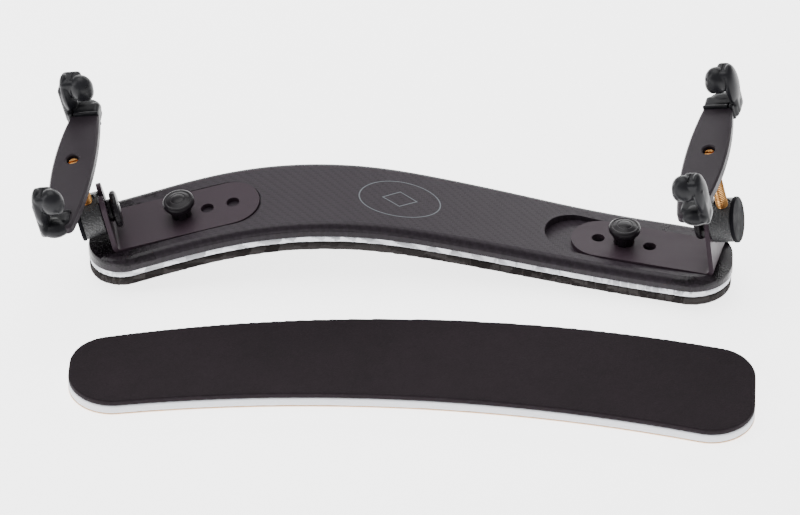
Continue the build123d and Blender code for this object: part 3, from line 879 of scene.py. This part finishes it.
def set_camera():
    """Look down on the rest from the front, from far away with a long lens."""
    low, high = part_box("shell")
    crest = Vector(((low.x + high.x) / 2, high.y - SHELL_HALF_WIDTH, 0))
    elevation, yaw, roll = (math.radians(a) for a in CAMERA_ANGLES)
    ahead = Vector((-math.sin(yaw) * math.cos(elevation),
                    math.cos(yaw) * math.cos(elevation), -math.sin(elevation)))
    right = Vector((math.cos(yaw), math.sin(yaw), 0))
    up = right.cross(ahead)
    # the view's middle lies before the crest, between the rest and its spare pad
    aim = crest + Vector((0, -20, 20)) * MM
    aim -= right * 3.0 * MM + up * 5.24 * MM
    right_r = right * math.cos(roll) + up * math.sin(roll)
    up_r = up * math.cos(roll) - right * math.sin(roll)
    spin = Matrix((right_r, up_r, -ahead)).transposed().to_4x4()
    bpy.ops.object.camera_add()
    camera = bpy.context.object
    camera.name = "studio_camera"
    camera.data.sensor_width = 36
    camera.data.lens = 349.8
    camera.data.clip_end = 20
    camera.matrix_world = Matrix.Translation(aim - ahead * CAMERA_DISTANCE) @ spin
    bpy.context.scene.camera = camera


class REST_OT_studio(bpy.types.Operator):
    """Set the pale floor, the soft lights and the camera"""
    bl_idname = "rest.studio"
    bl_label = "Studio"

    def execute(self, context):
        bpy.ops.mesh.primitive_plane_add(size=6, location=(0, 0, -0.0001))
        floor = only(context.object)
        floor.name = "studio_floor"
        settle()
        paint = Finish("studio_floor", (0.86, 0.86, 0.865), 0.9, Specular_IOR_Level=0.1,
                       Emission_Color=(1, 1, 1, 1), Emission_Strength=3.0)
        sweep = paint.noise(120, 3)
        paint.color(paint.blend(sweep, (0.85, 0.85, 0.855), (0.88, 0.88, 0.885)))
        floor.data.materials.append(paint.material)

        world = bpy.data.worlds.new("studio")
        world.use_nodes = True
        sky = world.node_tree.nodes["Background"]
        sky.inputs["Color"].default_value = (1, 1, 1, 1)
        sky.inputs["Strength"].default_value = 0.75
        context.scene.world = world

        target = (0, 0, 0.02)
        softbox("top_softbox", (-0.15, 0.25, 0.9), target, 0.8, 9)
        softbox("left_strip", (-0.9, -0.2, 0.5), target, 0.25, 5, 0.9)
        softbox("back_strip", (0.1, 0.9, 0.35), target, 1.2, 5, 0.2)

        set_camera()
        return {"FINISHED"}


class REST_PT_panel(bpy.types.Panel):
    """Sizes, colours and pieces of the shoulder rest"""
    bl_idname = "REST_PT_panel"
    bl_label = "Shoulder Rest"
    bl_space_type = "VIEW_3D"
    bl_region_type = "UI"
    bl_category = "Shoulder Rest"

    def draw(self, context):
        for group in (context.scene.rest_sizes, context.scene.rest_colors):
            column = self.layout.column(align=True)
            for name in group.__annotations__:
                column.prop(group, name)
        for operator in OPERATORS:
            self.layout.operator(operator.bl_idname)


OPERATORS = (
    REST_OT_studio, REST_OT_body, REST_OT_spare_pad, REST_OT_brackets, REST_OT_knobs,
    REST_OT_clamps, REST_OT_posts, REST_OT_forks,
)
CLASSES = (RestSizes, RestColors, *OPERATORS, REST_PT_panel)


def register():
    for cls in CLASSES:
        bpy.utils.register_class(cls)
    bpy.types.Scene.rest_sizes = bpy.props.PointerProperty(type=RestSizes)
    bpy.types.Scene.rest_colors = bpy.props.PointerProperty(type=RestColors)


def unregister():
    del bpy.types.Scene.rest_colors
    del bpy.types.Scene.rest_sizes
    for cls in reversed(CLASSES):
        bpy.utils.unregister_class(cls)


def main():
    register()
    bpy.ops.rest.studio()
    bpy.ops.rest.body()
    bpy.ops.rest.spare_pad()
    bpy.ops.rest.brackets()
    bpy.ops.rest.knobs()
    bpy.ops.rest.clamps()
    bpy.ops.rest.posts()
    bpy.ops.rest.forks()


if __name__ == "__main__":
    main()
